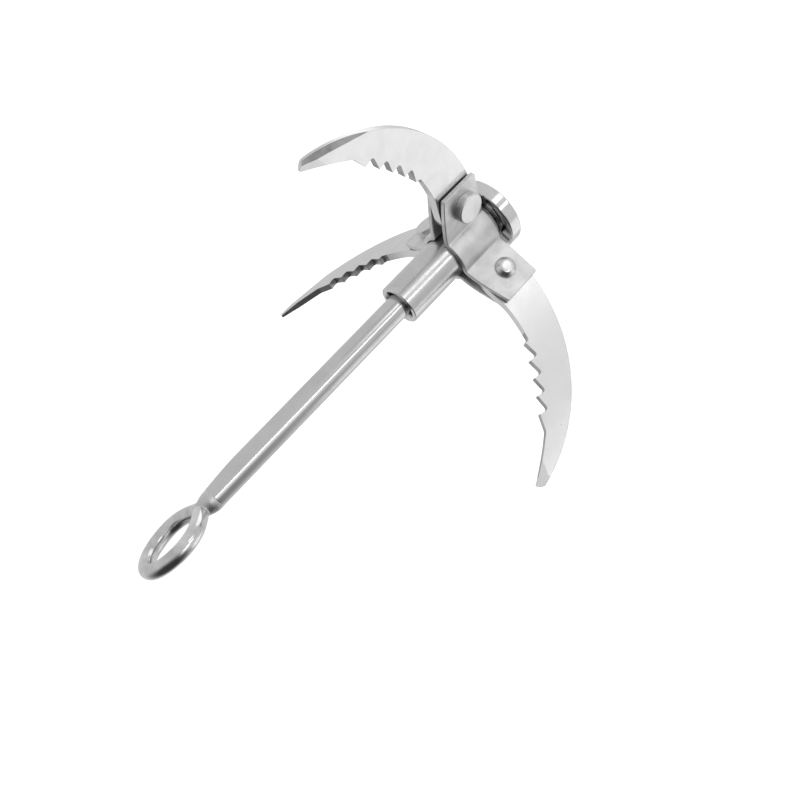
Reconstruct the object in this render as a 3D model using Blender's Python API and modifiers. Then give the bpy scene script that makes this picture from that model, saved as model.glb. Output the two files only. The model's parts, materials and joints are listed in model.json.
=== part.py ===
"""Folding three-claw grapnel anchor in stainless steel.

The anchor stands upright on its crown disc: +Z runs up the shank to the eye and the
origin is the centre of the disc's far face. A head of a hub tube, three bent bracket
plates and three riveted claws rides loose on the shank. At rest the crown disc holds
the claws' heels, so the claws are locked open.
"""
import math

import bmesh
import bpy
from mathutils import Matrix, Vector

MM = 0.001
GAP = 0.3                       # clearance between touching pieces
BORE_GAP = 0.35                 # clearance of a bore about the shank or its spigot

# Shank and crown, all in millimetres.
SHANK_R = 5.0
SHANK_TOP = 162.85
SHOULDER_ROUND = 2.6
CROWN_R = 15.5
CROWN_H = 6.0
CROWN_CHAMFER = 0.6
SPIGOT_R = 4.0
PEEN_R = 5.6
PEEN_DEPTH = 1.9

# Eye ring, welded on the shank's end.
EYE_RING_R = 14.2
EYE_WIRE_R = 3.0
EYE_TURN = math.radians(6.8)    # of the ring's plane away from the first claw's
EYE_LEAN = math.radians(2.4)    # of the ring away from the shank's line
WELD_SIZE = (4.6, 5.0, 2.9)     # half sizes of the weld between shank and ring
WELD_RISE = 0.5

# Hub tube and the washer that it turns on.
HUB_R = 8.93
HUB_BORE_R = 6.4
HUB_BASE = 7.0
HUB_TOP = 58.0
HUB_CHAMFER = 0.4
WASHER_BASE = CROWN_H + 0.25
WASHER_H = 0.5
WASHER_R = 8.8
BEAD_R = 0.55                   # weld bead under each plate's wrap
BEAD_OUT = 0.9
BEAD_DROP = 0.86
BEAD_HALF_SPAN = 0.42           # radians either side of the wrap's middle

# Claws: in a claw's plane, u is the distance from the shank's axis and z the height.
CLAW_COUNT = 3
FIRST_CLAW = math.radians(90)
CLAW_T = 4.0
TIP_T = 2.5                     # both faces lean in evenly from the pin to the point
PIN_U = 20.55
PIN_Z = 17.15
PIN_R = 3.0
HEEL_R = 11.2                   # round back of the heel, about the pin
HEEL_CORNER_Z = 6.5             # square corner that the crown disc locks
HEEL_FOOT_U = 14.0
HEEL_CHAMFER = 0.6
BACK_CENTRE = (15.8, 83.1)      # the claw's outer edge is one arc
BACK_R = 74.4
BACK_START_U = 17.0
BACK_END = math.radians(-8.2)
TIP = ((88.6, 73.7), (86.8, 74.8))
INNER_END_U = 31.0              # end of the straight edge that runs out of the heel
FIRST_ROOT = (46.7, 32.2)
TEETH = 5
TOOTH_CENTRE = (-27.14, 152.55)  # the teeth's points lie on this arc
TOOTH_ARC_R = 139.5
TOOTH_START = math.radians(-57.95)
TOOTH_STEP = math.radians(2.98)
FLANK = 6.6                     # a tooth's long flank
FLANK_TILT = math.radians(2.7)  # each flank turns this much more than the last
LAST_ROOT = (75.9, 55.7)
TIP_BOW = 0.5                   # rise of the plain inner edge between teeth and tip

# Bracket plates: each wraps a third of the tube and carries half of two clevises.
PLATE_T = 2.0
PLATE_BASE = 8.7
PLATE_TOP = 30.2
PLATE_END_U = 30.6
PLATE_CORNER = 0.8
CLAW_GAP = 0.42                 # side clearance of a claw in its clevis
CLEVIS_HALF = CLAW_T / 2 + CLAW_GAP
WRAP_R = HUB_R + GAP
OUTER_BEND = (1.2, math.radians(12))    # radius, and angle taken up on the wrap
INNER_BEND = (2.2, math.radians(11))
SLOPE_START_U = 12.0            # the upper edge falls away from here to the plate's end
SLOPE_DROP = 3.5

# Rivet pins.
HEAD_R = 6.15
HEAD_H = 3.1
HEAD_ROUND = 0.7
TAIL_R = 4.35
TAIL_H = 2.05
TAIL_WALL = 0.6                 # height of the tail's straight side


def clear_scene():
    for obj in list(bpy.data.objects):
        bpy.data.objects.remove(obj, do_unlink=True)


def new_collection(name):
    collection = bpy.data.collections.new(name)
    bpy.context.scene.collection.children.link(collection)
    return collection


def steel(name, tone, roughness):
    material = bpy.data.materials.new(name)
    material.use_nodes = True
    shader = material.node_tree.nodes["Principled BSDF"]
    shader.inputs["Base Color"].default_value = (tone, tone, tone, 1)
    shader.inputs["Metallic"].default_value = 1.0
    shader.inputs["Roughness"].default_value = roughness
    return material


def add_object(name, data, collection, parent=None, matrix=None, tone=0.6, roughness=0.3):
    obj = bpy.data.objects.new(name, data)
    collection.objects.link(obj)
    obj.parent = parent
    obj.matrix_local = matrix or Matrix()
    if data is not None:
        data.materials.append(steel(name + "_steel", tone, roughness))
    return obj


def adopt_primitive(name, collection, matrix, roughness):
    """Name, place and finish the primitive that was just added."""
    obj = bpy.context.object
    obj.name = obj.data.name = name
    obj.data.shade_smooth()
    obj.data.materials.append(steel(name + "_steel", 0.6, roughness))
    obj.matrix_world = matrix
    for owner in list(obj.users_collection):
        owner.objects.unlink(obj)
    collection.objects.link(obj)
    return obj


def as_cutter(obj):
    obj.hide_render = True
    obj.display_type = "WIRE"
    return obj


def cut(obj, cutter):
    modifier = obj.modifiers.new("cut_" + cutter.name, "BOOLEAN")
    modifier.operation = "DIFFERENCE"
    modifier.solver = "EXACT"
    modifier.object = cutter


def arc(centre, radius, start, end, steps):
    """Points from start to end, both included."""
    angles = (start + (end - start) * i / steps for i in range(steps + 1))
    return [(centre[0] + radius * math.cos(a), centre[1] + radius * math.sin(a)) for a in angles]


def rounded(corner, before, after, radius, steps=5):
    """The corner between two straight runs, replaced by a tangent arc."""
    cx, cy = corner
    a = math.atan2(before[1] - cy, before[0] - cx)
    b = math.atan2(after[1] - cy, after[0] - cx)
    half = ((b - a + math.pi) % (2 * math.pi) - math.pi) / 2
    reach = radius / abs(math.tan(half))
    centre_distance = radius / abs(math.sin(half))
    centre = (cx + centre_distance * math.cos(a + half), cy + centre_distance * math.sin(a + half))
    start = (cx + reach * math.cos(a), cy + reach * math.sin(a))
    end = (cx + reach * math.cos(b), cy + reach * math.sin(b))
    first = math.atan2(start[1] - centre[1], start[0] - centre[0])
    last = math.atan2(end[1] - centre[1], end[0] - centre[0])
    turn = (last - first + math.pi) % (2 * math.pi) - math.pi
    return arc(centre, radius, first, first + turn, steps)


def turned(name, profile, collection, closed, steps, **place):
    """A turned piece about local Z; the profile runs down its outer side."""
    mesh = bpy.data.meshes.new(name)
    count = len(profile)
    edges = [(i, (i + 1) % count) for i in range(count if closed else count - 1)]
    mesh.from_pydata([(r * MM, 0, z * MM) for r, z in profile], edges, [])
    obj = add_object(name, mesh, collection, **place)
    screw = obj.modifiers.new("turn", "SCREW")
    screw.steps = screw.render_steps = steps
    screw.use_merge_vertices = True
    screw.merge_threshold = 0.00001
    screw.use_smooth_shade = True
    return obj


def flat_piece(name, outlines, thickness, collection, **place):
    """A plate in the local XY plane, centred on it; outlines after the first are holes."""
    curve = bpy.data.curves.new(name, "CURVE")
    curve.dimensions = "2D"
    curve.fill_mode = "BOTH"
    curve.extrude = thickness / 2 * MM
    for points in outlines:
        spline = curve.splines.new("POLY")
        spline.points.add(len(points) - 1)
        for point, (x, y) in zip(spline.points, points):
            point.co = (x * MM, y * MM, 0, 1)
        spline.use_cyclic_u = True
    drawing = bpy.data.objects.new(name + "_outline", curve)
    collection.objects.link(drawing)
    graph = bpy.context.evaluated_depsgraph_get()
    mesh = bpy.data.meshes.new_from_object(drawing.evaluated_get(graph))
    bpy.data.objects.remove(drawing, do_unlink=True)
    mesh.materials.clear()
    mesh.name = name
    solid = bmesh.new()
    solid.from_mesh(mesh)
    bmesh.ops.remove_doubles(solid, verts=solid.verts, dist=0.000002)
    bmesh.ops.recalc_face_normals(solid, faces=solid.faces)
    solid.to_mesh(mesh)
    solid.free()
    return add_object(name, mesh, collection, **place)


def claw_azimuth(index):
    return FIRST_CLAW + index * 2 * math.pi / CLAW_COUNT


def pin_frame(index):
    """Local X points out from the shank, local Y up it and local Z along the pin."""
    turn = Matrix.Rotation(claw_azimuth(index), 4, "Z")
    stand = Matrix.Rotation(math.pi / 2, 4, "X")
    return turn @ Matrix.Translation((PIN_U * MM, 0, PIN_Z * MM)) @ stand


def circle(radius, steps):
    return arc((0, 0), radius, 0, 2 * math.pi * (steps - 1) / steps, steps - 1)


def claw_outline():
    """One claw's side view about its pin, counter-clockwise from the heel's foot."""
    heel_u = PIN_U - HEEL_R
    back_start = math.asin((BACK_START_U - BACK_CENTRE[0]) / BACK_R) - math.pi / 2
    points = [(heel_u, HEEL_CORNER_Z + HEEL_CHAMFER), (heel_u + HEEL_CHAMFER, HEEL_CORNER_Z)]
    points.append((HEEL_FOOT_U, HEEL_CORNER_Z))
    points += arc(BACK_CENTRE, BACK_R, back_start, BACK_END, 30)
    points += TIP
    span = (TIP[1][0] - LAST_ROOT[0], TIP[1][1] - LAST_ROOT[1])
    length = math.hypot(*span)
    for i in range(6, 0, -1):
        t = i / 7
        bow = 4 * TIP_BOW * t * (1 - t)
        points.append((LAST_ROOT[0] + span[0] * t + span[1] / length * bow,
                       LAST_ROOT[1] + span[1] * t - span[0] / length * bow))
    points.append(LAST_ROOT)
    for i in reversed(range(TEETH)):
        tip = arc(TOOTH_CENTRE, TOOTH_ARC_R, TOOTH_START + i * TOOTH_STEP, 0, 1)[0]
        if i < TEETH - 1:
            tilt = i * FLANK_TILT
            points.append((tip[0] + FLANK * math.cos(tilt), tip[1] + FLANK * math.sin(tilt)))
        points.append(tip)
    points.append(FIRST_ROOT)
    inner_z = PIN_Z + HEEL_R
    run, rise = FIRST_ROOT[0] - INNER_END_U, FIRST_ROOT[1] - inner_z
    for i in range(5, -1, -1):
        t = i / 6
        points.append((INNER_END_U + run * t, inner_z + rise * t ** 1.4))
    points += arc((PIN_U, PIN_Z), HEEL_R, math.pi / 2, math.pi, 14)
    return [(u - PIN_U, z - PIN_Z) for u, z in points]


def plate_outline():
    """One bracket plate seen from above, with the middle of its wrap at azimuth 0."""
    half_pitch = math.pi / CLAW_COUNT
    end_u = PLATE_END_U + 2
    wall = []
    for offset, radius, bend, clear in (
            (CLEVIS_HALF + PLATE_T, WRAP_R + PLATE_T, *OUTER_BEND),
            (CLEVIS_HALF, WRAP_R, *INNER_BEND)):
        seat = math.asin(offset / radius)
        first = half_pitch - seat - clear
        corner = (radius * math.cos(seat), offset)
        beyond = (radius * math.cos(seat + clear), radius * math.sin(seat + clear))
        run = [(end_u, offset)] + rounded(corner, (end_u, offset), beyond, bend)
        turn = Matrix.Rotation(half_pitch, 2)
        wing = [tuple(turn @ Vector((u, -v))) for u, v in run]
        wall.append(wing + arc((0, 0), radius, first, 0, 7))
    outer, inner = wall
    outline = outer + [(x, -y) for x, y in reversed(outer[:-1])]
    outline += [(x, -y) for x, y in inner[:-1]] + list(reversed(inner))
    return outline


def plate_trim_outline():
    """What is cut off a clevis about its pin: the end, its corners and the upper slope."""
    slope = []
    for i in range(8):
        t = i / 8
        slope.append((SLOPE_START_U + t * (PLATE_END_U - SLOPE_START_U),
                      PLATE_TOP - SLOPE_DROP * t ** 1.3))
    corner = (PLATE_END_U, PLATE_TOP - SLOPE_DROP)
    slope += rounded(corner, slope[-1], (PLATE_END_U, PLATE_BASE), PLATE_CORNER)
    slope += arc((PLATE_END_U - PLATE_CORNER, PLATE_BASE + PLATE_CORNER), PLATE_CORNER,
                 0, -math.pi / 2, 5)
    beyond = [(PLATE_END_U - PLATE_CORNER, PLATE_BASE - 2), (PLATE_END_U + 4, PLATE_BASE - 2),
              (PLATE_END_U + 4, PLATE_TOP + 3), (SLOPE_START_U, PLATE_TOP + 3)]
    return [(u - PIN_U, z - PIN_Z) for u, z in slope + beyond]


def shank_profile(grow=0.0):
    """From the eye's end down to the crown; grow makes the same shape thicker."""
    dome = arc((SHANK_R - SHOULDER_ROUND, SHANK_TOP - SHOULDER_ROUND), SHOULDER_ROUND + grow,
               math.pi / 2, 0, 6)
    foot = [(SHANK_R + grow, CROWN_H + GAP), (SPIGOT_R + grow, CROWN_H + GAP),
            (SPIGOT_R + grow, PEEN_DEPTH), (PEEN_R + grow, 0), (0, 0)]
    return [(0, SHANK_TOP + grow)] + dome + foot


def make_shank(parts, cutters):
    turned("shank_rod", shank_profile(), parts, False, 40, roughness=0.25)
    crown = [(CROWN_R - CROWN_CHAMFER, CROWN_H), (CROWN_R, CROWN_H - CROWN_CHAMFER),
             (CROWN_R, CROWN_CHAMFER), (CROWN_R - CROWN_CHAMFER, 0),
             (PEEN_R + BORE_GAP, 0), (SPIGOT_R + BORE_GAP, PEEN_DEPTH),
             (SPIGOT_R + BORE_GAP, CROWN_H)]
    turned("crown_disc", crown, parts, True, 64, roughness=0.3)
    foot = Matrix.Translation((0, 0, (SHANK_TOP + GAP) * MM))
    lean = Matrix.Rotation(EYE_TURN, 4, "Z") @ Matrix.Rotation(-EYE_LEAN, 4, "Y")
    rise = Matrix.Translation((0, 0, (EYE_WIRE_R + EYE_RING_R) * MM))
    seat = foot @ lean @ rise @ Matrix.Rotation(math.pi / 2, 4, "Y")
    for name, collection, grow in (("eye_ring", parts, 0), ("eye_seat", cutters, GAP)):
        bpy.ops.mesh.primitive_torus_add(
            major_segments=56, minor_segments=18,
            major_radius=EYE_RING_R * MM, minor_radius=(EYE_WIRE_R + grow) * MM)
        ring = adopt_primitive(name, collection, seat, 0.2)
    eye_seat = as_cutter(ring)
    shank_seat = as_cutter(turned("shank_seat", shank_profile(GAP), cutters, False, 40))
    bpy.ops.mesh.primitive_uv_sphere_add(segments=28, ring_count=16, radius=1)
    joint = Matrix.Translation((0, 0, (SHANK_TOP + WELD_RISE) * MM))
    weld = adopt_primitive("eye_weld", parts, joint @ Matrix.Rotation(EYE_TURN, 4, "Z"), 0.35)
    weld.data.transform(Matrix.Diagonal((*(size * MM for size in WELD_SIZE), 1)))
    cut(weld, eye_seat)
    cut(weld, shank_seat)


def make_hub(parts, head):
    outer, bore, c = HUB_R, HUB_BORE_R, HUB_CHAMFER
    tube = [(outer - c, HUB_TOP), (outer, HUB_TOP - c), (outer, HUB_BASE + c),
            (outer - c, HUB_BASE), (bore, HUB_BASE), (bore, HUB_TOP - c), (bore + c, HUB_TOP)]
    turned("hub_tube", tube, parts, True, 48, parent=head, roughness=0.28)
    washer = [(WASHER_R, WASHER_BASE + WASHER_H), (WASHER_R, WASHER_BASE),
              (SHANK_R + BORE_GAP, WASHER_BASE), (SHANK_R + BORE_GAP, WASHER_BASE + WASHER_H)]
    turned("thrust_washer", washer, parts, True, 48, parent=head.parent, roughness=0.4)


def make_brackets(parts, cutters, head, pins):
    trims, holes = [], []
    for i, pin in enumerate(pins):
        trim = flat_piece(f"clevis_trim_{i + 1}", [plate_trim_outline()],
                          4 * (CLEVIS_HALF + PLATE_T), cutters, parent=pin)
        hole = flat_piece(f"pin_hole_{i + 1}", [circle(PIN_R + GAP, 24)],
                          4 * (CLEVIS_HALF + PLATE_T), cutters, parent=pin)
        trims.append(as_cutter(trim))
        holes.append(as_cutter(hole))
    for i in range(CLAW_COUNT):
        middle = claw_azimuth(i) + math.pi / CLAW_COUNT
        lift = Matrix.Translation((0, 0, (PLATE_BASE + PLATE_TOP) / 2 * MM))
        place = Matrix.Rotation(middle, 4, "Z") @ lift
        plate = flat_piece(f"bracket_plate_{i + 1}", [plate_outline()], PLATE_TOP - PLATE_BASE,
                           parts, parent=head, matrix=place, tone=0.58, roughness=0.35)
        for k in (i, (i + 1) % CLAW_COUNT):
            cut(plate, trims[k])
            cut(plate, holes[k])
        make_weld(i, middle, parts, head)


def make_weld(index, middle, parts, head):
    """A bead along the lower edge of a plate's wrap."""
    curve = bpy.data.curves.new("bead", "CURVE")
    curve.dimensions = "3D"
    curve.bevel_depth = BEAD_R * MM
    curve.bevel_resolution = 2
    curve.use_fill_caps = True
    spline = curve.splines.new("POLY")
    route = arc((0, 0), HUB_R + BEAD_OUT, middle - BEAD_HALF_SPAN, middle + BEAD_HALF_SPAN, 10)
    spline.points.add(len(route) - 1)
    for point, (x, y) in zip(spline.points, route):
        point.co = (x * MM, y * MM, 0, 1)
    height = Matrix.Translation((0, 0, (PLATE_BASE - BEAD_DROP) * MM))
    add_object(f"hub_weld_{index + 1}", curve, parts, head, height, 0.55, 0.4)


def make_pins(parts, pins):
    face = CLEVIS_HALF + PLATE_T + GAP
    top, foot = face + HEAD_H, -face - TAIL_H
    profile = [(0, top), (HEAD_R - HEAD_ROUND, top), (HEAD_R - 0.3 * HEAD_ROUND, top - 0.3 * HEAD_ROUND),
               (HEAD_R, top - HEAD_ROUND),
               (HEAD_R, face), (PIN_R, face), (PIN_R, -face), (TAIL_R, -face),
               (TAIL_R, -face - TAIL_WALL), (TAIL_R - 0.35, -face - 2 * TAIL_WALL),
               (PIN_R, foot), (0, foot)]
    for i, pin in enumerate(pins):
        turned(f"pivot_pin_{i + 1}", profile, parts, False, 32, parent=pin, roughness=0.25)


def make_claws(parts, pins):
    outline, bore = claw_outline(), circle(PIN_R + GAP, 24)
    tip = Vector((TIP[0][0] - PIN_U, TIP[0][1] - PIN_Z, 0)) * MM
    for i, pin in enumerate(pins):
        claw = flat_piece(f"claw_{i + 1}", [outline, bore], CLAW_T, parts, parent=pin,
                          tone=0.7, roughness=0.3)
        for vertex in claw.data.vertices:
            along = vertex.co.dot(tip) / tip.length_squared
            vertex.co.z *= 1 - (1 - TIP_T / CLAW_T) * along


def main():
    clear_scene()
    parts = new_collection("grapnel_anchor")
    cutters = new_collection("cutters")
    make_shank(parts, cutters)
    swivel = add_object("head_swivel", None, parts)
    head = add_object("head_slide", None, parts, swivel)
    make_hub(parts, head)
    pins = [add_object(f"claw_{i + 1}_pivot", None, parts, head, pin_frame(i))
            for i in range(CLAW_COUNT)]
    bpy.context.view_layer.update()
    make_brackets(parts, cutters, head, pins)
    make_pins(parts, pins)
    make_claws(parts, pins)


main()
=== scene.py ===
import json
import math

import bmesh
import bpy
from mathutils import Matrix, Vector, noise


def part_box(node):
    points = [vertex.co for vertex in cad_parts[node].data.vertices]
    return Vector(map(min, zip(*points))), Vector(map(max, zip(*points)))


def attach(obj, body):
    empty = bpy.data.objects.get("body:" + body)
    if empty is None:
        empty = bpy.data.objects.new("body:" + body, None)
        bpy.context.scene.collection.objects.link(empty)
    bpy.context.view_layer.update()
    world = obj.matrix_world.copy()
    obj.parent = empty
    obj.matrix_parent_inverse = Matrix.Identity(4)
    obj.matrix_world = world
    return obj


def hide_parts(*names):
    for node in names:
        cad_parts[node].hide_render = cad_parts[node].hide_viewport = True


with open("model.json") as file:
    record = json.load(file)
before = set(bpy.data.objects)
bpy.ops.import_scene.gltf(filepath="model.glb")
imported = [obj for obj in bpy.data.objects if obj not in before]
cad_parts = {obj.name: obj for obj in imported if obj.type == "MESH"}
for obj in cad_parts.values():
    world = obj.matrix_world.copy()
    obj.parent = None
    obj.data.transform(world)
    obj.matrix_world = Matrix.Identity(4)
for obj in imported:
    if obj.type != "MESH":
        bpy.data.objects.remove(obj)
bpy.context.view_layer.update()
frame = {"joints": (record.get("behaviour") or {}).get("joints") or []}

MM = 0.001
CLAWS = 3
MERGE_DISTANCE = 0.000002        # metres
CUT_DISTANCE = 0.0000005         # metres


def low(node):
    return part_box(node)[0] / MM


def high(node):
    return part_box(node)[1] / MM


def fold_joint(index):
    return next(j for j in frame["joints"] if j["name"] == f"claw_{index + 1}_fold")


# Shank, crown and eye.
SHANK_TOP = high("shank_rod").z
SHANK_R = 5.0
SHOULDER_ROUND = 2.6
SPIGOT_R = 4.0
PEEN_R = high("shank_rod").x
PEEN_DEPTH = 1.9
CROWN_R = high("crown_disc").x
CROWN_H = high("crown_disc").z
SEAT_Z = CROWN_H + 0.3           # the shank's step above the crown
CROWN_EDGE = 0.75                # rounding of the rim
BORE_GAP = 0.35                  # clearance of a bore about the shank or its spigot
EYE_WIRE_R = 3.0
EYE_RING_R = 14.2
EYE_TURN = math.radians(6.8)
EYE_LEAN = math.radians(2.4)
EYE_FOOT = SHANK_TOP + 0.3
NECK_TURN = math.radians(208)    # the neck keeps to this side of the shank
NECK_LOW = SHANK_TOP - 6.0
NECK_HIGH = SHANK_TOP + 6.0
NECK_START = 0.4                 # share of the neck's height below its shoulder
NECK_SIZES = ((4.95, 3.2), (3.75, 2.6), (4.95, 3.4))    # front, back and side: low, high
TAPER_LENGTH = 18.0
TAPER_POWER = 1.5
TAPER = 0.24                     # share of the radius ground away at the top
TEAR = 0.95                      # how far the ring's foot draws in to a point
TEAR_HEIGHT = 4.2
TEAR_POWER = 1.3
WELD_SHRINK = 0.12               # the weld's copy of the ring lies this far inside it
WELD_REACH = SHANK_TOP + 6.5     # the weld keeps nothing of that copy above this
WELD_VOXEL = 0.22
WELD_LUMPS = ((420, 0.1), (1100, 0.04))      # noise scale and height
WELD_RAISE = 0.1
WELD_SPREAD = 2.4                # the lumps fade over this height about the eye's foot
WELD_SMOOTHING = 24              # passes

# Head.
HUB_R = high("hub_tube").x
HUB_BORE_R = 6.4
HUB_BASE = low("hub_tube").z
HUB_TOP = high("hub_tube").z
HUB_EDGE = 0.35
NECK_R = HUB_BORE_R - 0.75       # the bore is tighter for a way below its mouth
MOUTH_R = HUB_BORE_R + 0.7
MOUTH_DEPTH = 1.9
NECK_DEPTH = 11.0
WASHER_EDGE = 0.15
PIN_U = math.hypot(*fold_joint(0)["pos_m"][:2]) / MM
PIN_Z = fold_joint(0)["pos_m"][2] / MM
PIN_R = 3.0
PIN_HOLE_R = PIN_R + 0.15
PLATE_T = 2.0
PLATE_BASE = low("bracket_plate_1").z
PLATE_TOP = high("bracket_plate_1").z
PLATE_END_U = high("bracket_plate_1").y
PLATE_CORNER = 0.9
PLATE_EDGE = 0.38
CLEVIS_HALF = -high("bracket_plate_1").x
WRAP_R = HUB_R + 0.3
BEND_R = 2.2                     # of the plate's middle surface
SLOPE_START_U = 12.0
SLOPE_DROP = 3.5
SLOPE_POWER = 1.3
BEAD_R = 0.62                    # weld bead under the wrap
BEAD_MIDDLE_R = HUB_R + 0.95
BEAD_Z = PLATE_BASE - 0.7
BEAD_HALF_SPAN = 0.46            # radians
PIN_FACE = CLEVIS_HALF + PLATE_T + 0.06
HEAD_R = 6.15
HEAD_EDGE = 0.55
HEAD_TOP = high("pivot_pin_1").x
TAIL_R = 4.35
TAIL_TOP = -low("pivot_pin_1").x
PEEN_TOP_R = 2.75
PEEN_DENT = 0.22

# Claws: u is the distance out from the shank's axis and z the height.
CLAW_T = 4.0
TIP_T = 2.5
CLAW_EDGE = 0.16
HEEL_R = 11.2
HEEL_CORNER_Z = low("claw_1").z
HEEL_FOOT_U = 14.0
HEEL_ROUND = 0.8
BACK_CENTRE = (15.8, 83.1)
BACK_R = 74.4
BACK_START_U = 17.0
BACK_END = math.radians(-8.2)
TIP = ((88.6, 73.7), (86.8, 74.8))
INNER_END_U = 31.0
INNER_POWER = 1.4
FIRST_ROOT = (46.7, 32.2)
TEETH = 5
TOOTH_CENTRE = (-27.14, 152.55)
TOOTH_ARC_R = 139.5
TOOTH_START = math.radians(-57.95)
TOOTH_STEP = math.radians(2.98)
TOOTH_ROUND = 0.22
ROOT_ROUND = 1.0
FLANK = 6.6
FLANK_TILT = math.radians(2.7)
LAST_ROOT = (75.9, 55.7)
TIP_BOW = 0.5
GRIND_STEPS = (7.5, 5.5, 3.5, 1.5, -0.5)    # degrees back from the back edge's end
GRIND_WIDTH = 1.95
GRIND_SLOPE = 1.6
SAWN_SHADE_DEPTH = 4.0                 # saw-cut walls, painted darker as shade, lie at least this far inside the back edge
SAWN_SHADE_START_U = FIRST_ROOT[0] - 3
TIP_ROUND = 0.25
SATIN, GROUND_PAINTED_REFLECTION, SAWN_PAINTED_SHADE = 0, 1, 2    # a claw's materials, in this order: satin, the tip bevels' finish with a painted dark reflection, the saw-cut walls' finish with painted shade
CHISEL_SLOPE = 0.1
CHISEL_LEAN = 0.06
CHISEL_END = 1.5                 # thickness left at the point

# Camera.
CAMERA_AIM = Vector((-29.27, 0.0, 82.14))
CAMERA_DISTANCE = 355.8
CAMERA_AZIMUTH = -61.2038        # degrees, as the elevation
CAMERA_ELEVATION = 15.2445
CAMERA_ROLL = math.radians(-137.0822)
LENS = 39.825

# Light: azimuths and elevations in degrees, levels in the scene's radiance.
TENT_OPENING = (-135, 48)
TENT_LEVEL = 0.72
TENT_DARK = 0.05
TENT_FALLOFF = (0.25, 0.9)       # cosines where the darkening starts and ends
BACKDROP_LEVEL = 1.05
TABLE_LEVEL = 0.9
TABLE_SIZE = 6                   # metres
SOFTBOX_AIM = Vector((0, 0, 80))
SOFTBOX_DISTANCE = 1.2           # metres, as the widths and heights of the panels
SOFTBOXES = (                    # name, azimuth, elevation, width, height, radiance
    ("strip", -82, -13, 0.09, 1.15, 3.6),
    ("under", 40, -60, 0.7, 0.7, 0.6),
    ("front", -94, 4, 0.5, 0.7, 0.42),
    ("key", -55, -30, 0.28, 0.5, 1.25),
    ("side", -164, -28, 0.95, 0.75, 0.42),
)


# ---------------------------------------------------------------- node materials

class Nodes:
    """Short spellings for building one material's node tree."""

    def __init__(self, name):
        self.material = bpy.data.materials.new(name)
        self.material.use_nodes = True
        self.tree = self.material.node_tree
        self.shader = self.tree.nodes["Principled BSDF"]
        self.place = self.tree.nodes.new("ShaderNodeTexCoord").outputs["Object"]

    def add(self, kind, **inputs):
        node = self.tree.nodes.new(kind)
        for key, value in inputs.items():
            self.put(node.inputs[key.replace("_", " ")], value)
        return node

    def put(self, socket, value):
        if isinstance(value, bpy.types.NodeSocket):
            self.tree.links.new(value, socket)
        else:
            socket.default_value = value

    def stretched(self, scale, turn=(0, 0, 0)):
        return self.add("ShaderNodeMapping", Vector=self.place, Scale=scale,
                        Rotation=turn).outputs["Vector"]

    def noise(self, scale, detail=3.0, stretch=(1, 1, 1), turn=(0, 0, 0), rough=0.5, warp=0.0):
        node = self.add("ShaderNodeTexNoise", Vector=self.stretched(stretch, turn), Scale=scale,
                        Detail=detail, Roughness=rough, Distortion=warp)
        return node.outputs["Fac"]

    def remap(self, value, start, end, to_start, to_end):
        node = self.add("ShaderNodeMapRange", Value=value)
        for i, number in enumerate((start, end, to_start, to_end)):
            node.inputs[i + 1].default_value = number
        node.clamp = True
        return node.outputs["Result"]

    def math(self, operation, a, b):
        node = self.tree.nodes.new("ShaderNodeMath")
        node.operation = operation
        self.put(node.inputs[0], a)
        self.put(node.inputs[1], b)
        return node.outputs["Value"]

    def total(self, *values):
        result = values[0]
        for value in values[1:]:
            result = self.math("ADD", result, value)
        return result

    def bump(self, height, distance, strength=1.0):
        node = self.add("ShaderNodeBump", Height=height, Distance=distance, Strength=strength)
        return node.outputs["Normal"]


def scratches(nodes, scale, turns, width=0.012):
    """Sparse fine lines in a few directions: 1 in a scratch and 0 off it."""
    lines = None
    for i, turn in enumerate(turns):
        field = nodes.noise(scale, 1.0, (1, 0.06, 1), (0.3 * i, 0.2, turn), warp=0.6)
        line = nodes.remap(nodes.math("ABSOLUTE", nodes.math("SUBTRACT", field, 0.5), 0.0),
                           0.0, width, 1.0, 0.0)
        patch = nodes.remap(nodes.noise(scale * 0.12, 2.0, turn=(turn, 0, 1.0 + i)),
                            0.52, 0.62, 0.0, 1.0)
        marked = nodes.math("MULTIPLY", line, patch)
        lines = marked if lines is None else nodes.math("MAXIMUM", lines, marked)
    return lines


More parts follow.
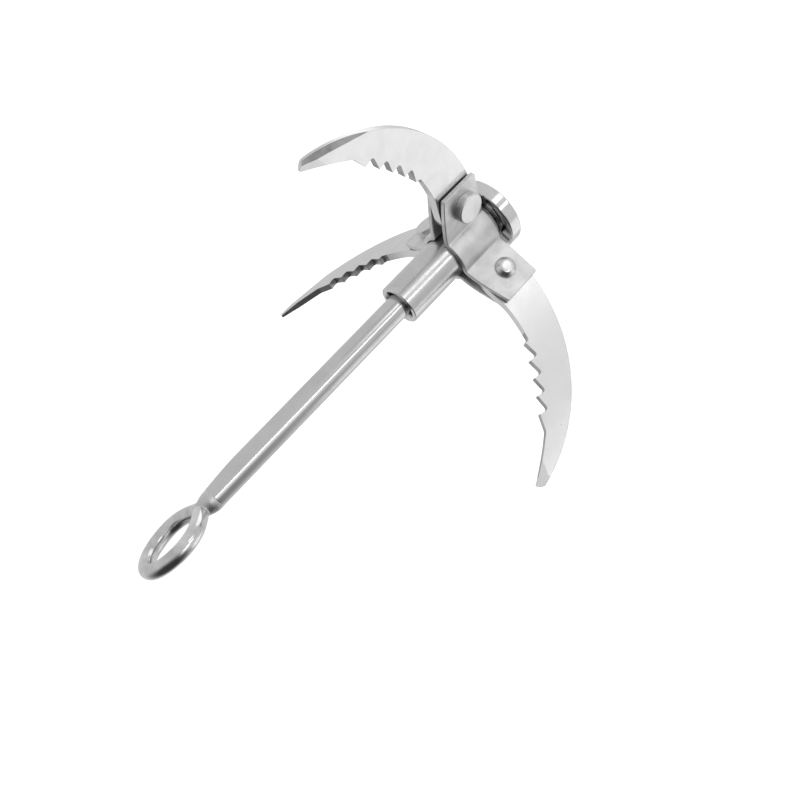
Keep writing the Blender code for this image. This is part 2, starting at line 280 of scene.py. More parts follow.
def steel(name, tone, roughness, grain=(1, 1, 1), grain_scale=900.0, grain_depth=0.000004,
          wave_depth=0.00003, mottle=0.06, scratch=0.5, spread=0.06, wear=True):
    """Stainless steel: a finish grain, slow waves in the surface, marks and worn edges.

    Wear is left out on sheet pieces, whose long triangles would carry it across a face.
    """
    nodes = Nodes(name)
    fine = nodes.noise(grain_scale, 4.0, grain, rough=0.65)
    cloud = nodes.noise(130.0, 4.0, rough=0.6, warp=0.4)
    slow = nodes.noise(38.0, 2.0)
    marks = scratches(nodes, 420.0, (0.5, 1.7, -0.7))
    worn = 0.0
    if wear:
        worn = nodes.remap(nodes.add("ShaderNodeNewGeometry").outputs["Pointiness"],
                           0.5, 0.56, 0.0, 1.0)
    shift = nodes.total(nodes.remap(cloud, 0.3, 0.7, -mottle, mottle),
                        nodes.remap(slow, 0.35, 0.65, -mottle * 0.5, mottle * 0.5),
                        nodes.math("MULTIPLY", worn, 0.05),
                        nodes.math("MULTIPLY", marks, -0.06 * scratch))
    level = nodes.math("ADD", shift, tone)
    colour = nodes.tree.nodes.new("ShaderNodeCombineColor")
    nodes.put(colour.inputs["Red"], level)
    nodes.put(colour.inputs["Green"], level)
    nodes.put(colour.inputs["Blue"], nodes.math("MULTIPLY", level, 1.004))
    nodes.put(nodes.shader.inputs["Base Color"], colour.outputs["Color"])
    rough = nodes.total(nodes.remap(fine, 0.3, 0.7, -spread * 0.5, spread * 0.5),
                        nodes.remap(cloud, 0.3, 0.7, spread, -spread),
                        nodes.math("MULTIPLY", marks, 0.12 * scratch),
                        nodes.math("MULTIPLY", worn, -spread))
    nodes.put(nodes.shader.inputs["Roughness"], nodes.math("ADD", rough, roughness))
    height = nodes.total(nodes.math("MULTIPLY", fine, grain_depth),
                         nodes.math("MULTIPLY", slow, wave_depth),
                         nodes.math("MULTIPLY", cloud, wave_depth * 0.12),
                         nodes.math("MULTIPLY", marks, -0.000006 * scratch))
    nodes.put(nodes.shader.inputs["Normal"], nodes.bump(height, 1.0))
    nodes.shader.inputs["Metallic"].default_value = 1.0
    return nodes.material


# ---------------------------------------------------------------- outlines

def arc(centre, radius, start, end, steps):
    """Points from start to end, both included."""
    angles = (start + (end - start) * i / steps for i in range(steps + 1))
    return [(centre[0] + radius * math.cos(a), centre[1] + radius * math.sin(a)) for a in angles]


def rounded(corner, before, after, radius, steps=6):
    """The corner between two straight runs, replaced by a tangent arc."""
    cx, cy = corner
    a = math.atan2(before[1] - cy, before[0] - cx)
    b = math.atan2(after[1] - cy, after[0] - cx)
    half = ((b - a + math.pi) % (2 * math.pi) - math.pi) / 2
    reach = radius / abs(math.tan(half))
    centre_distance = radius / abs(math.sin(half))
    centre = (cx + centre_distance * math.cos(a + half), cy + centre_distance * math.sin(a + half))
    start = (cx + reach * math.cos(a), cy + reach * math.sin(a))
    end = (cx + reach * math.cos(b), cy + reach * math.sin(b))
    first = math.atan2(start[1] - centre[1], start[0] - centre[0])
    last = math.atan2(end[1] - centre[1], end[0] - centre[0])
    turn = (last - first + math.pi) % (2 * math.pi) - math.pi
    return arc(centre, radius, first, first + turn, steps)


def softened(corners):
    """An outline from corners (x, y, radius); radius 0 keeps the corner as a point."""
    points = []
    for i, (x, y, radius) in enumerate(corners):
        if radius:
            after = corners[(i + 1) % len(corners)][:2]
            points += rounded((x, y), corners[i - 1][:2], after, radius)
        else:
            points.append((x, y))
    return points


def divided(start, end, steps):
    """Points between two corners, neither included."""
    return [(start[0] + (end[0] - start[0]) * i / steps, start[1] + (end[1] - start[1]) * i / steps)
            for i in range(1, steps)]


def circle(radius, steps):
    return arc((0, 0), radius, 0, 2 * math.pi * (steps - 1) / steps, steps - 1)


# ---------------------------------------------------------------- meshes

def piece(name, mesh, material, matrix=None):
    obj = bpy.data.objects.new(name, mesh)
    bpy.context.scene.collection.objects.link(obj)
    obj.matrix_world = matrix or Matrix()
    mesh.materials.append(material)
    return obj


def settle(obj, node, body):
    """Ride on a body in place of a CAD node."""
    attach(obj, body)
    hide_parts(node)


def smooth_with_flats(obj, angle=math.radians(40)):
    """Smooth shading that keeps the large flat faces flat."""
    obj.data.shade_smooth()
    obj.data.set_sharp_from_angle(angle=angle)
    weighted = obj.modifiers.new("flat_faces", "WEIGHTED_NORMAL")
    weighted.keep_sharp = True
    weighted.mode = "FACE_AREA"


def turned(name, profile, steps, material, matrix=None, closed=False):
    """A turned piece about local Z; the profile runs down its outer side."""
    solid = bmesh.new()
    rings = []
    for radius, z in profile:
        if radius < 1e-6:
            rings.append([solid.verts.new((0, 0, z * MM))])
            continue
        angles = (2 * math.pi * k / steps for k in range(steps))
        rings.append([solid.verts.new((radius * MM * math.cos(a), radius * MM * math.sin(a), z * MM))
                      for a in angles])
    pairs = list(zip(rings, rings[1:])) + ([(rings[-1], rings[0])] if closed else [])
    for upper, lower in pairs:
        for k in range(steps):
            corners = [lower[k % len(lower)], lower[(k + 1) % len(lower)],
                       upper[(k + 1) % len(upper)], upper[k % len(upper)]]
            solid.faces.new(list(dict.fromkeys(corners)))
    mesh = bpy.data.meshes.new(name)
    solid.to_mesh(mesh)
    solid.free()
    obj = piece(name, mesh, material, matrix)
    smooth_with_flats(obj)
    return obj


def flat_mesh(name, outlines, thickness, edge):
    """A sheet in the local XY plane with rounded edges; outlines after the first are holes."""
    curve = bpy.data.curves.new(name, "CURVE")
    curve.dimensions = "2D"
    curve.fill_mode = "BOTH"
    curve.extrude = (thickness / 2 - edge) * MM
    curve.bevel_depth = edge * MM
    curve.bevel_resolution = 2
    curve.offset = -edge * MM
    for points in outlines:
        spline = curve.splines.new("POLY")
        spline.points.add(len(points) - 1)
        for point, (x, y) in zip(spline.points, points):
            point.co = (x * MM, y * MM, 0, 1)
        spline.use_cyclic_u = True
    drawing = bpy.data.objects.new(name + "_outline", curve)
    bpy.context.scene.collection.objects.link(drawing)
    graph = bpy.context.evaluated_depsgraph_get()
    mesh = bpy.data.meshes.new_from_object(drawing.evaluated_get(graph))
    bpy.data.objects.remove(drawing, do_unlink=True)
    mesh.name = name
    solid = bmesh.new()
    solid.from_mesh(mesh)
    bmesh.ops.remove_doubles(solid, verts=solid.verts, dist=MERGE_DISTANCE)
    bmesh.ops.recalc_face_normals(solid, faces=solid.faces)
    solid.to_mesh(mesh)
    solid.free()
    return mesh


def pin_frame(index):
    """Local X points out from the shank, local Y up it and local Z along the pin."""
    x, y, z = fold_joint(index)["pos_m"]
    turn = Matrix.Rotation(math.atan2(y, x), 4, "Z")
    stand = Matrix.Rotation(math.pi / 2, 4, "X")
    return Matrix.Translation((x, y, z)) @ turn @ stand


# ---------------------------------------------------------------- shank, crown and eye

def make_shank():
    dome = arc((SHANK_R - SHOULDER_ROUND, SHANK_TOP - SHOULDER_ROUND), SHOULDER_ROUND,
               math.pi / 2, 0, 10)
    rod = divided((SHANK_R, dome[-1][1]), (SHANK_R, SEAT_Z), 60)
    profile = [(0, SHANK_TOP)] + dome + rod
    profile += [(SHANK_R, SEAT_Z + 0.2), (SHANK_R - 0.2, SEAT_Z), (SPIGOT_R, SEAT_Z),
                (SPIGOT_R, PEEN_DEPTH), (PEEN_R - 0.1, 0.25), (PEEN_R - 0.4, 0.05),
                (PEEN_R - 0.8, 0), (0, 0)]
    finish = steel("bar_steel", 0.62, 0.16, (0.6, 0.6, 14.0), 700.0, mottle=0.03, spread=0.04,
                   wave_depth=0.000012, scratch=0.6)
    shank = turned("shank", profile, 96, finish)
    away = Vector((-math.cos(NECK_TURN), -math.sin(NECK_TURN), 0))
    for vertex in shank.data.vertices:
        t = max(0, vertex.co.z / MM - SHANK_TOP + TAPER_LENGTH) / TAPER_LENGTH
        vertex.co -= away * max(0, vertex.co.dot(away)) * TAPER * t ** TAPER_POWER
    settle(shank, "shank_rod", "shank")


def make_crown():
    inner = CROWN_R - CROWN_EDGE
    bore = SPIGOT_R + BORE_GAP
    profile = arc((inner, CROWN_H - CROWN_EDGE), CROWN_EDGE, math.pi / 2, 0, 5)
    profile += arc((inner, CROWN_EDGE), CROWN_EDGE, 0, -math.pi / 2, 5)
    profile += [(PEEN_R + BORE_GAP, 0), (bore, PEEN_DEPTH), (bore, CROWN_H - 0.3), (bore + 0.3, CROWN_H)]
    finish = steel("crown_steel", 0.68, 0.15, (9, 9, 0.5), 160.0, mottle=0.04, spread=0.05,
                   wave_depth=0.00002)
    settle(turned("crown", profile, 128, finish, closed=True), "crown_disc", "shank")


def eye_matrix():
    foot = Matrix.Translation((0, 0, EYE_FOOT * MM))
    lean = Matrix.Rotation(EYE_TURN, 4, "Z") @ Matrix.Rotation(-EYE_LEAN, 4, "Y")
    rise = Matrix.Translation((0, 0, (EYE_WIRE_R + EYE_RING_R) * MM))
    return foot @ lean @ rise @ Matrix.Rotation(math.pi / 2, 4, "Y")


def ring_middle(angle, ring):
    """The wire's middle line: a circle whose foot, at angle 0, draws in like a teardrop's."""
    rise = ring * (1 - math.cos(angle))
    narrow = 1 - TEAR * math.exp(-(rise / TEAR_HEIGHT) ** TEAR_POWER)
    return Vector((ring * math.cos(angle), ring * math.sin(angle) * narrow, 0))


def ring_section(angle, ring, wire, across):
    middle = ring_middle(angle, ring)
    along = (ring_middle(angle + 0.01, ring) - ring_middle(angle - 0.01, ring)).normalized()
    out = Vector((along.y, -along.x, 0))
    return [middle + out * x + Vector((0, 0, y)) for x, y in circle(wire, across)]


def ring_mesh(name, ring, wire, around, across):
    solid = bmesh.new()
    loops = []
    for k in range(around):
        loops.append([solid.verts.new(v * MM) for v in ring_section(2 * math.pi * k / around,
                                                                    ring, wire, across)])
    for k in range(around):
        here, following = loops[k], loops[(k + 1) % around]
        for j in range(across):
            n = (j + 1) % across
            solid.faces.new((here[j], here[n], following[n], following[j]))
    bmesh.ops.recalc_face_normals(solid, faces=solid.faces)
    mesh = bpy.data.meshes.new(name)
    solid.to_mesh(mesh)
    solid.free()
    mesh.shade_smooth()
    return mesh


def make_eye():
    finish = steel("eye_steel", 0.62, 0.17, grain_scale=500.0, mottle=0.13, spread=0.08,
                   wave_depth=0.00006, scratch=0.8)
    ring = piece("eye", ring_mesh("eye", EYE_RING_R, EYE_WIRE_R, 160, 40), finish, eye_matrix())
    settle(ring, "eye_ring", "shank")


def add_neck(solid, steps=24, sides=48):
    """A closed lofted body from the shank's tapered end into the ring's foot."""
    turn = Matrix.Rotation(NECK_TURN, 4, "Z")
    loops = []
    for k in range(steps + 1):
        t = k / steps
        fade = max(0, t - NECK_START) / (1 - NECK_START)
        fade *= fade * (3 - 2 * fade)
        front, back, side = (low_end + (high_end - low_end) * fade
                             for low_end, high_end in NECK_SIZES)
        z = NECK_LOW + (NECK_HIGH - NECK_LOW) * t
        loop = [Vector((x * (front if x > 0 else back), y * side, z)) for x, y in circle(1, sides)]
        loops.append([solid.verts.new(turn @ spot * MM) for spot in loop])
    for here, following in zip(loops, loops[1:]):
        for j in range(sides):
            n = (j + 1) % sides
            solid.faces.new((here[j], here[n], following[n], following[j]))
    solid.faces.new(reversed(loops[0]))
    solid.faces.new(loops[-1])


def ring_foot():
    """A copy of the ring's foot, cut off above and closed."""
    solid = bmesh.new()
    ring = ring_mesh("weld_ring", EYE_RING_R, EYE_WIRE_R - WELD_SHRINK, 120, 32)
    ring.transform(eye_matrix())
    solid.from_mesh(ring)
    far = [v for v in solid.verts if v.co.z > WELD_REACH * MM]
    bmesh.ops.delete(solid, geom=far, context="VERTS")
    bmesh.ops.holes_fill(solid, edges=[e for e in solid.edges if e.is_boundary], sides=0)
    return solid


def melted(weld):
    """The skin of the weld's overlapping bodies, run together and lumpy about the joint."""
    remesh = weld.modifiers.new("blend", "REMESH")
    remesh.mode = "VOXEL"
    remesh.voxel_size = WELD_VOXEL * MM
    remesh.use_smooth_shade = True
    smooth = weld.modifiers.new("melt", "SMOOTH")
    smooth.factor = 0.5
    smooth.iterations = WELD_SMOOTHING
    graph = bpy.context.evaluated_depsgraph_get()
    skin = bpy.data.meshes.new_from_object(weld.evaluated_get(graph))
    weld.modifiers.clear()
    for vertex in skin.vertices:
        near = math.exp(-((vertex.co.z / MM - EYE_FOOT) / WELD_SPREAD) ** 2)
        lump = sum(noise.noise(vertex.co * scale) * tall for scale, tall in WELD_LUMPS)
        vertex.co += vertex.normal * (lump + WELD_RAISE) * near * MM
    return skin


def make_eye_weld():
    """The bead that blends the ring into the shank's end."""
    solid = ring_foot()
    add_neck(solid)
    mesh = bpy.data.meshes.new("neck_weld")
    solid.to_mesh(mesh)
    solid.free()
    finish = steel("weld_steel", 0.64, 0.42, grain_scale=400.0, mottle=0.08, spread=0.1,
                   wave_depth=0.00006, scratch=0.3)
    weld = piece("neck_weld", mesh, finish)
    weld.data = melted(weld)
    weld.data.shade_smooth()
    weld.data.materials.clear()
    weld.data.materials.append(finish)
    settle(weld, "eye_weld", "shank")


# ---------------------------------------------------------------- head

def make_hub():
    inner, top, base = HUB_R - HUB_EDGE, HUB_TOP - HUB_EDGE, HUB_BASE + HUB_EDGE
    rim = arc((inner, top), HUB_EDGE, math.pi / 2, 0, 4)
    foot = arc((inner, base), HUB_EDGE, 0, -math.pi / 2, 4)
    outer = divided((HUB_R, top), (HUB_R, base), 20)
    profile = rim + outer + foot + [(HUB_BORE_R + 0.2, HUB_BASE), (HUB_BORE_R, HUB_BASE + 0.2)]
    profile += [(HUB_BORE_R, HUB_TOP - NECK_DEPTH - 1), (NECK_R, HUB_TOP - NECK_DEPTH),
                (NECK_R, HUB_TOP - MOUTH_DEPTH), (MOUTH_R - 0.1, HUB_TOP - 0.1),
                (MOUTH_R, HUB_TOP)]
    finish = steel("tube_steel", 0.62, 0.24, (0.5, 0.5, 10.0), 600.0, mottle=0.04, spread=0.05,
                   wave_depth=0.000006)
    settle(turned("hub", profile, 128, finish, closed=True), "hub_tube", "head")


def make_washer():
    z0, z1, r = low("thrust_washer").z, high("thrust_washer").z, high("thrust_washer").x
    bore, edge = SHANK_R + BORE_GAP, WASHER_EDGE
    profile = [(r - edge, z1), (r, z1 - edge), (r, z0 + edge), (r - edge, z0), (bore + edge, z0),
               (bore, z0 + edge), (bore, z1 - edge), (bore + edge, z1)]
    finish = steel("washer_steel", 0.55, 0.35, (6, 6, 0.5), 200.0)
    settle(turned("washer", profile, 96, finish, closed=True), "thrust_washer", "washer")


def plate_path():
    """Half of a plate's middle line in plan, from its wrap's middle out along the wing.

    The wrap's middle lies at azimuth 0. Each entry is (length so far, x, y, heading).
    """
    middle = WRAP_R + PLATE_T / 2
    offset = CLEVIS_HALF + PLATE_T / 2 + BEND_R
    half_pitch = math.pi / CLAWS
    lean = math.asin(offset / (middle + BEND_R))
    wrap_end = half_pitch - lean
    bend_centre = Vector((middle + BEND_R, 0))
    bend_centre.rotate(Matrix.Rotation(wrap_end, 2))
    steps = []
    for i in range(13):
        a = wrap_end * i / 12
        steps.append((middle * a, middle * math.cos(a), middle * math.sin(a), a + math.pi / 2))
    turn_total = math.pi / 2 - lean
    for i in range(1, 9):
        turn = turn_total * i / 8
        from_centre = wrap_end + math.pi - turn
        x = bend_centre.x + BEND_R * math.cos(from_centre)
        y = bend_centre.y + BEND_R * math.sin(from_centre)
        steps.append((middle * wrap_end + BEND_R * turn, x, y, wrap_end + math.pi / 2 - turn))
    return steps


def plate_place(path, s):
    """Plan position and sideways direction at signed length s along the plate."""
    side, length = (1, s) if s >= 0 else (-1, -s)
    last = path[-1]
    if length >= last[0]:
        run = length - last[0]
        x, y, heading = last[1] + run * math.cos(last[3]), last[2] + run * math.sin(last[3]), last[3]
    else:
        k = next(i for i in range(1, len(path)) if path[i][0] >= length)
        a, b = path[k - 1], path[k]
        t = (length - a[0]) / (b[0] - a[0])
        x, y, heading = (a[j] + (b[j] - a[j]) * t for j in (1, 2, 3))
    return Vector((x, side * y, 0)), Vector((math.sin(heading), -side * math.cos(heading), 0))


def plate_blank(path):
    """The flat sheet before bending: x runs along the plate and y up the shank."""
    half_pitch = math.pi / CLAWS
    last = path[-1]
    out_u = last[1] * math.cos(half_pitch) + last[2] * math.sin(half_pitch)

    def length_at(u):
        return last[0] + u - out_u

    end = length_at(PLATE_END_U)
    slope = []
    for i in range(9):
        t = i / 8
        u = SLOPE_START_U + t * (PLATE_END_U - SLOPE_START_U)
        slope.append((length_at(u), PLATE_TOP - SLOPE_DROP * t ** SLOPE_POWER))
    top = slope[:-1] + rounded(slope[-1], slope[-2], (end, PLATE_BASE), PLATE_CORNER)
    corner = rounded((end, PLATE_BASE), (end, PLATE_TOP), (0, PLATE_BASE), PLATE_CORNER)
    right = top + corner
    outline = [(-x, y) for x, y in reversed(right)] + right
    outline.reverse()
    pin = length_at(PIN_U)
    return outline, pin


def bent_plate_mesh(name):
    path = plate_path()
    outline, pin = plate_blank(path)
    holes = [[(side * pin + x, PIN_Z + y) for x, y in circle(PIN_HOLE_R, 40)] for side in (1, -1)]
    mesh = flat_mesh(name, [outline] + holes, PLATE_T, PLATE_EDGE)
    solid = bmesh.new()
    solid.from_mesh(mesh)
    cuts = [s for s, *_ in path[1:]]
    for s in [0.0] + cuts + [-s for s in cuts]:
        everything = solid.verts[:] + solid.edges[:] + solid.faces[:]
        bmesh.ops.bisect_plane(solid, geom=everything, dist=CUT_DISTANCE, plane_co=(s * MM, 0, 0),
                               plane_no=(1, 0, 0))
    for vertex in solid.verts:
        s, z, w = vertex.co / MM
        spot, sideways = plate_place(path, s)
        at = spot + sideways * w
        vertex.co = Vector((at.x, at.y, z)) * MM
    bmesh.ops.recalc_face_normals(solid, faces=solid.faces)
    if solid.calc_volume(signed=True) < 0:
        bmesh.ops.reverse_faces(solid, faces=solid.faces)
    solid.to_mesh(mesh)
    solid.free()
    return mesh


def make_plates():
    finish = steel("plate_steel", 0.71, 0.48, (1, 1, 5), 420.0, mottle=0.06, spread=0.06,
                   wave_depth=0.00003, scratch=0.8, wear=False)
    mesh = bent_plate_mesh("bracket_plate")
    for i in range(CLAWS):
        middle = math.radians(90) + (2 * i + 1) * math.pi / CLAWS
        turn = Matrix.Rotation(middle, 4, "Z")
        plate = piece(f"plate_{i + 1}", mesh.copy(), finish, turn)
        smooth_with_flats(plate)
        settle(plate, f"bracket_plate_{i + 1}", "head")
        make_hub_weld(i, middle)


def make_hub_weld(index, middle):
    """A rippled bead under the plate's wrap."""
    rings, sides = 46, 14
    solid = bmesh.new()
    loops = []
    for k in range(rings + 1):
        t = 2 * k / rings - 1
        a = middle + BEAD_HALF_SPAN * t
        ripple = 1 + 0.12 * math.sin(k * 1.45) + 0.1 * noise.noise(Vector((k * 0.3, index, 0)))
        r = BEAD_R * ripple * math.sqrt(max(0.02, 1 - abs(t) ** 6))
        out = Vector((math.cos(a), math.sin(a), 0))
        centre = out * BEAD_MIDDLE_R + Vector((0, 0, BEAD_Z))
        loop = [centre + out * (r * math.cos(b)) + Vector((0, 0, r * math.sin(b)))
                for b in (2 * math.pi * j / sides for j in range(sides))]
        loops.append([solid.verts.new(v * MM) for v in loop])
    for here, following in zip(loops, loops[1:]):
        for j in range(sides):
            n = (j + 1) % sides
            solid.faces.new((here[j], here[n], following[n], following[j]))
    solid.faces.new(loops[0])
    solid.faces.new(reversed(loops[-1]))
    bmesh.ops.recalc_face_normals(solid, faces=solid.faces)
    mesh = bpy.data.meshes.new(f"hub_bead_{index + 1}")
    solid.to_mesh(mesh)
    solid.free()
    mesh.shade_smooth()
    finish = bpy.data.materials.get("weld_steel")
    settle(piece(mesh.name, mesh, finish), f"hub_weld_{index + 1}", "head")


def pin_profile():
    """From the head's top down to the peened tail's end."""
    head = arc((HEAD_R - HEAD_EDGE, HEAD_TOP - HEAD_EDGE), HEAD_EDGE, math.pi / 2, 0, 5)
    foot = -PIN_FACE
    profile = [(0, HEAD_TOP - 0.04), (HEAD_R * 0.5, HEAD_TOP - 0.02)] + head
    profile += [(HEAD_R, PIN_FACE + 0.25), (HEAD_R - 0.15, PIN_FACE), (PIN_R, PIN_FACE)]
    profile += divided((PIN_R, PIN_FACE), (PIN_R, foot), 6)
    profile += [(PIN_R, foot), (TAIL_R - 0.15, foot), (TAIL_R, foot - 0.25), (TAIL_R, foot - 0.6),
                (TAIL_R - 0.2, foot - 0.85), (PEEN_TOP_R + 0.12, -TAIL_TOP + 0.1),
                (PEEN_TOP_R, -TAIL_TOP), (PEEN_TOP_R * 0.5, -TAIL_TOP), (0, -TAIL_TOP + 0.03)]
    return profile


def make_pins():
    finish = steel("rivet_steel", 0.68, 0.32, (6, 6, 6), 260.0, mottle=0.04, spread=0.06,
                   wave_depth=0.00002)
    for i in range(CLAWS):
        pin = turned(f"rivet_{i + 1}", pin_profile(), 72, finish, pin_frame(i))
        for vertex in pin.data.vertices:
            hammered = vertex.co.z / MM < -PIN_FACE - 0.1
            if hammered:
                dent = noise.noise(vertex.co * 420 + Vector((i * 3.1, 0, 0)))
                flat = Vector((vertex.co.x, vertex.co.y, 0)).normalized()
                vertex.co += flat * dent * PEEN_DENT * MM
        settle(pin, f"pivot_pin_{i + 1}", "head")


# ---------------------------------------------------------------- claws

def point_edge():
    """The bowed inner edge from the point back towards the last root."""
    span = (TIP[1][0] - LAST_ROOT[0], TIP[1][1] - LAST_ROOT[1])
    length = math.hypot(*span)
    corners = []
    for i in range(17, 0, -1):
        t = i / 18
        bow = 4 * TIP_BOW * t * (1 - t)
        corners.append((LAST_ROOT[0] + span[0] * t + span[1] / length * bow,
                        LAST_ROOT[1] + span[1] * t - span[0] / length * bow, 0))
    return corners


def toothed_edge():
    """The teeth with the roots between and beside them, from the last back to the first."""
    corners = [(*LAST_ROOT, ROOT_ROUND)]
    for i in reversed(range(TEETH)):
        tip = arc(TOOTH_CENTRE, TOOTH_ARC_R, TOOTH_START + i * TOOTH_STEP, 0, 1)[0]
        if i < TEETH - 1:
            tilt = i * FLANK_TILT
            root = (tip[0] + FLANK * math.cos(tilt), tip[1] + FLANK * math.sin(tilt))
            corners.append((*root, ROOT_ROUND))
        corners.append((*tip, TOOTH_ROUND))
    return corners + [(*FIRST_ROOT, ROOT_ROUND)]


def claw_outline():
    """One claw's side view about its pin, counter-clockwise from the heel's foot."""
    heel_u = PIN_U - HEEL_R
    back_start = math.asin((BACK_START_U - BACK_CENTRE[0]) / BACK_R) - math.pi / 2
    corners = [(heel_u, HEEL_CORNER_Z, HEEL_ROUND), (HEEL_FOOT_U, HEEL_CORNER_Z, 0)]
    back = arc(BACK_CENTRE, BACK_R, back_start, BACK_END, 90)
    corners += [(x, y, 0) for x, y in back]
    corners += [(*TIP[0], TIP_ROUND), (*TIP[1], TIP_ROUND)]
    corners += point_edge() + toothed_edge()
    inner_z = PIN_Z + HEEL_R
    run, rise = FIRST_ROOT[0] - INNER_END_U, FIRST_ROOT[1] - inner_z
    for i in range(15, -1, -1):
        t = i / 16
        corners.append((INNER_END_U + run * t, inner_z + rise * t ** INNER_POWER, 0))
    corners += [(x, y, 0) for x, y in arc((PIN_U, PIN_Z), HEEL_R, math.pi / 2, math.pi, 40)]
    return [(u - PIN_U, z - PIN_Z) for u, z in softened(corners)]


def grind_tip(solid):
    """Cut the facets at the point and give each new face its finish."""
    for spot, normal, finish in tip_facets():
        everything = solid.verts[:] + solid.edges[:] + solid.faces[:]
        cut = bmesh.ops.bisect_plane(solid, geom=everything, dist=CUT_DISTANCE, plane_co=spot * MM,
                                     plane_no=normal, clear_outer=True)
        edges = [e for e in cut["geom_cut"] if isinstance(e, bmesh.types.BMEdge)]
        made = bmesh.ops.contextual_create(solid, geom=edges)
        for face in made["faces"]:
            face.material_index = finish


def mark_sawn_painted_shade_edge(solid):
    """Give the walls of the inner edge, from the teeth on, the saw-cut finish, whose darker tone is
    painted shade.
    """
    centre = Vector((BACK_CENTRE[0] - PIN_U, BACK_CENTRE[1] - PIN_Z, 0))
    for face in solid.faces:
        spot = face.calc_center_median() / MM
        inner = (spot - centre).length < BACK_R - SAWN_SHADE_DEPTH and spot.x > SAWN_SHADE_START_U - PIN_U
        if inner and abs(face.normal.z) < 0.3:
            face.material_index = SAWN_PAINTED_SHADE


def claw_mesh(name):
    mesh = flat_mesh(name, [claw_outline(), circle(PIN_HOLE_R, 40)], CLAW_T, CLAW_EDGE)
    tip = Vector((TIP[0][0] - PIN_U, TIP[0][1] - PIN_Z, 0)) * MM
    for vertex in mesh.vertices:
        along = vertex.co.dot(tip) / tip.length_squared
        vertex.co.z *= 1 - (1 - TIP_T / CLAW_T) * along
    solid = bmesh.new()
    solid.from_mesh(mesh)
    grind_tip(solid)
    bmesh.ops.recalc_face_normals(solid, faces=solid.faces)
    mark_sawn_painted_shade_edge(solid)
    solid.to_mesh(mesh)
    solid.free()
    return mesh


def back_point(angle):
    return Vector((BACK_CENTRE[0] + BACK_R * math.cos(angle) - PIN_U,
                   BACK_CENTRE[1] + BACK_R * math.sin(angle) - PIN_Z, 0))


def tip_facets():
    """Ground planes at the point: (a place on it, its normal, its finish)."""
    end = Vector((TIP[0][0] - PIN_U, TIP[0][1] - PIN_Z, 0))
    face = Vector((0, 0, 1))
    for step in GRIND_STEPS:
        angle = BACK_END - math.radians(step)
        out = Vector((math.cos(angle), math.sin(angle), 0))
        spot = back_point(angle)
        half = (1 - (1 - TIP_T / CLAW_T) * spot.dot(end) / end.length_squared) * CLAW_T / 2
        slope = (out + face * GRIND_SLOPE).normalized()
        # the bevels take the material with the painted dark reflection
        yield spot - out * GRIND_WIDTH + face * half, slope, GROUND_PAINTED_REFLECTION
    run = Vector((-out.y, out.x, 0))
    for side in (1, -1):
        chisel = (face * side + run * CHISEL_SLOPE - out * CHISEL_LEAN).normalized()
        yield end + face * side * CHISEL_END / 2, chisel, SATIN


def make_claws():
    finish = steel("claw_steel", 0.73, 0.24, grain_scale=700.0, grain_depth=0.000001, mottle=0.02,
                   spread=0.03, wave_depth=0.000003, scratch=0.1, wear=False)
    # The tip bevels' material is painted darker than the satin faces: a painted dark reflection; its
    # cross-grind lines and roughness are the finish.
    ground_painted_reflection = steel("claw_ground_painted_reflection_steel", 0.38, 0.36, (1, 12, 1), 900.0, grain_depth=0.00001,
                   mottle=0.1, spread=0.08, wear=False)
    # The saw-cut walls' material is painted darker than the satin faces: painted shade; its grain and
    # roughness are the finish.
    sawn_painted_shade = steel("claw_sawn_painted_shade_steel", 0.44, 0.4, (1, 1, 9), 700.0, grain_depth=0.00002,
                 mottle=0.1, spread=0.08, wear=False)
    mesh = claw_mesh("claw")
    for i in range(CLAWS):
        claw = piece(f"fluke_{i + 1}", mesh.copy(), finish, pin_frame(i))
        claw.data.materials.append(ground_painted_reflection)
        claw.data.materials.append(sawn_painted_shade)
        smooth_with_flats(claw, math.radians(4))
        settle(claw, f"claw_{i + 1}", f"arm_{i + 1}")


# ---------------------------------------------------------------- studio

def direction(azimuth, elevation):
    a, e = math.radians(azimuth), math.radians(elevation)
    return Vector((math.cos(a) * math.cos(e), math.sin(a) * math.cos(e), math.sin(e)))


def make_camera():
    toward = direction(CAMERA_AZIMUTH, CAMERA_ELEVATION)
    camera = bpy.data.objects.new("camera", bpy.data.cameras.new("camera"))
    camera.data.lens = LENS
    camera.data.sensor_width = 36
    camera.data.clip_start = 0.01
    bpy.context.scene.collection.objects.link(camera)
    turn = (-toward).to_track_quat("-Z", "Y").to_matrix().to_4x4()
    place = Matrix.Translation((CAMERA_AIM + toward * CAMERA_DISTANCE) * MM)
    camera.matrix_world = place @ turn @ Matrix.Rotation(CAMERA_ROLL, 4, "Z")
    bpy.context.scene.camera = camera


def make_floor():
    """A lit white table: it shows as plain white and takes almost no shadow."""
    bpy.ops.mesh.primitive_plane_add(size=TABLE_SIZE, location=(0, 0, -0.0002))
    floor = bpy.context.object
    floor.name = "table"
    material = bpy.data.materials.new("table_white")
    material.use_nodes = True
    shader = material.node_tree.nodes["Principled BSDF"]
    shader.inputs["Base Color"].default_value = (TABLE_LEVEL, TABLE_LEVEL, TABLE_LEVEL, 1)
    shader.inputs["Roughness"].default_value = 0.6
    shader.inputs["Emission Color"].default_value = (1, 1, 1, 1)
    shader.inputs["Emission Strength"].default_value = TABLE_LEVEL
    floor.data.materials.append(material)
    floor.visible_glossy = False
    floor.visible_shadow = False
    floor.visible_diffuse = False


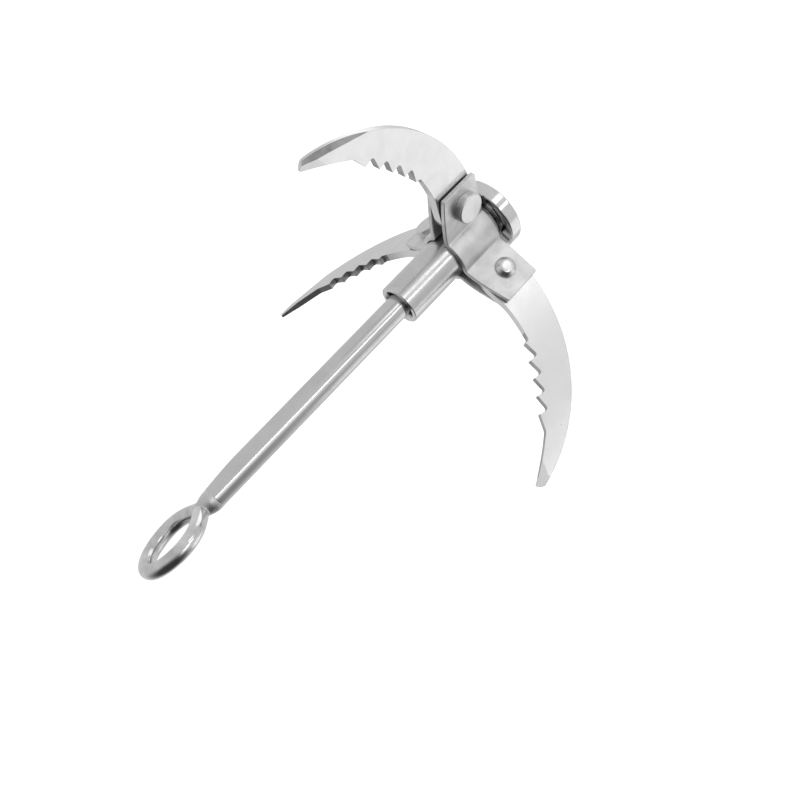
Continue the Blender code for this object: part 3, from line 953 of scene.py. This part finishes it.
def make_tent():
    """The light tent: even all round, and darker towards its open, unlit side."""
    world = bpy.data.worlds.new("studio")
    world.use_nodes = True
    tree = world.node_tree
    tent = tree.nodes["Background"]
    place = tree.nodes.new("ShaderNodeTexCoord")
    facing = tree.nodes.new("ShaderNodeVectorMath")
    facing.operation = "DOT_PRODUCT"
    facing.inputs[1].default_value = direction(*TENT_OPENING)
    falloff = tree.nodes.new("ShaderNodeMapRange")
    falloff.interpolation_type = "SMOOTHSTEP"
    for socket, value in zip(falloff.inputs[1:5], (*TENT_FALLOFF, TENT_LEVEL, TENT_DARK)):
        socket.default_value = value
    backdrop = tree.nodes.new("ShaderNodeBackground")
    backdrop.inputs["Strength"].default_value = BACKDROP_LEVEL
    path = tree.nodes.new("ShaderNodeLightPath")
    mix = tree.nodes.new("ShaderNodeMixShader")
    for source, target in ((place.outputs["Generated"], facing.inputs[0]),
                           (facing.outputs["Value"], falloff.inputs["Value"]),
                           (falloff.outputs["Result"], tent.inputs["Strength"]),
                           (path.outputs["Is Camera Ray"], mix.inputs["Fac"]),
                           (tent.outputs["Background"], mix.inputs[1]),
                           (backdrop.outputs["Background"], mix.inputs[2]),
                           (mix.outputs["Shader"], tree.nodes["World Output"].inputs["Surface"])):
        tree.links.new(source, target)
    for background in (tent, backdrop):
        background.inputs["Color"].default_value = (1, 1, 1, 1)
    bpy.context.scene.world = world
    bpy.context.scene.view_settings.view_transform = "Standard"


def softbox(name, azimuth, elevation, width, height, radiance):
    """A rectangular panel that faces the anchor's middle; radiance is its brightness."""
    lamp = bpy.data.lights.new(name, "AREA")
    lamp.shape = "RECTANGLE"
    lamp.size = width
    lamp.size_y = height
    lamp.energy = radiance * math.pi * width * height
    toward = direction(azimuth, elevation)
    light = bpy.data.objects.new(name, lamp)
    bpy.context.scene.collection.objects.link(light)
    turn = (-toward).to_track_quat("-Z", "Y").to_matrix().to_4x4()
    light.matrix_world = Matrix.Translation(toward * SOFTBOX_DISTANCE + SOFTBOX_AIM * MM) @ turn
    light.visible_camera = False


def make_light():
    make_tent()
    for panel in SOFTBOXES:
        softbox(*panel)


make_camera()
make_light()
make_floor()
make_shank()
make_crown()
make_eye()
make_eye_weld()
make_hub()
make_washer()
make_plates()
make_pins()
make_claws()
